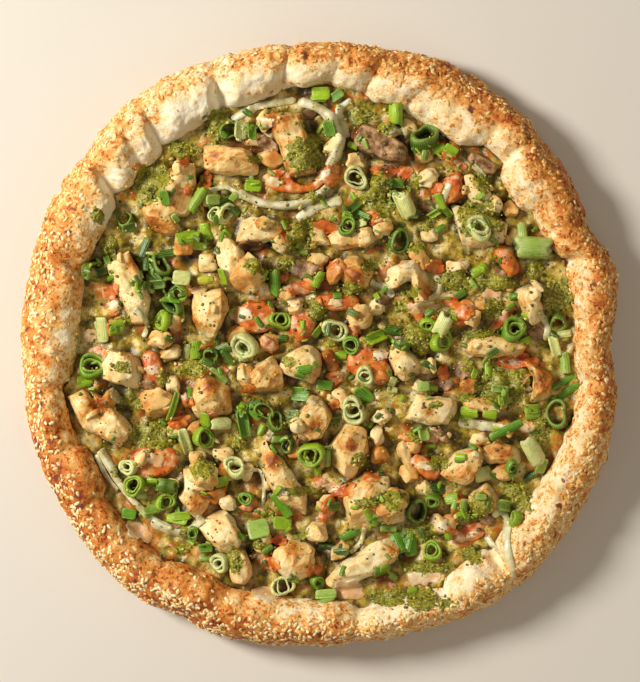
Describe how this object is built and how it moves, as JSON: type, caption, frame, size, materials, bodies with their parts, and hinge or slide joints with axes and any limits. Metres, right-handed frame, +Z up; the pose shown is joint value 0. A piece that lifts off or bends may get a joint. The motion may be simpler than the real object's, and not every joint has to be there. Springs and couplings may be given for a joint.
{
  "type": "pizza",
  "caption": "Whole round thick-rimmed pizza with a folded sesame-seeded crust, topped with chicken, pesto, spring onion, tomato, onion and mushroom.",
  "frame": {"origin": "centre of the pizza's box, on the flat underside of the crust", "axes": "+Z up through the toppings; +X right and +Y away as the pizza is seen from above"},
  "size_m": [0.3284, 0.3326, 0.0324],
  "materials": {
    "crust": "baked dough, flour-dusted, with browned spots",
    "cheese": "melted cheese with pesto and oil",
    "chicken": "moist roast chicken",
    "tomato": "cooked tomato, wet",
    "mushroom": "cooked mushroom",
    "onion": "soft translucent onion",
    "spring_onion": "green stem, waxy",
    "pesto": "oily, grainy green paste",
    "sesame": "toasted sesame seed"
  },
  "bodies": {
    "root": {"crust": "crust", "cheese_bed": "cheese", "chicken_01": "chicken", "chicken_02": "chicken", "chicken_03": "chicken", "chicken_04": "chicken", "chicken_05": "chicken", "chicken_06": "chicken", "chicken_07": "chicken", "chicken_08": "chicken", "chicken_09": "chicken", "chicken_10": "chicken", "chicken_11": "chicken", "chicken_12": "chicken", "chicken_13": "chicken", "chicken_14": "chicken", "chicken_15": "chicken", "chicken_16": "chicken", "chicken_17": "chicken", "chicken_18": "chicken", "chicken_19": "chicken", "chicken_20": "chicken", "chicken_21": "chicken", "chicken_22": "chicken", "chicken_23": "chicken", "chicken_24": "chicken", "chicken_25": "chicken", "chicken_26": "chicken", "chicken_27": "chicken", "chicken_28": "chicken", "chicken_29": "chicken", "chicken_30": "chicken", "chicken_31": "chicken", "chicken_32": "chicken", "chicken_33": "chicken", "chicken_34": "chicken", "chicken_35": "chicken", "chicken_36": "chicken", "tomato_01": "tomato", "tomato_02": "tomato", "tomato_03": "tomato", "tomato_04": "tomato", "tomato_05": "tomato", "tomato_06": "tomato", "tomato_07": "tomato", "tomato_08": "tomato", "tomato_09": "tomato", "tomato_10": "tomato", "tomato_11": "tomato", "mushroom_01": "mushroom", "mushroom_02": "mushroom", "onion_strip_01": "onion", "onion_strip_02": "onion", "onion_strip_03": "onion", "spring_onion_01": "spring_onion", "spring_onion_02": "spring_onion", "spring_onion_03": "spring_onion", "spring_onion_04": "spring_onion", "spring_onion_05": "spring_onion", "spring_onion_06": "spring_onion"}
  },
  "joints": []
}
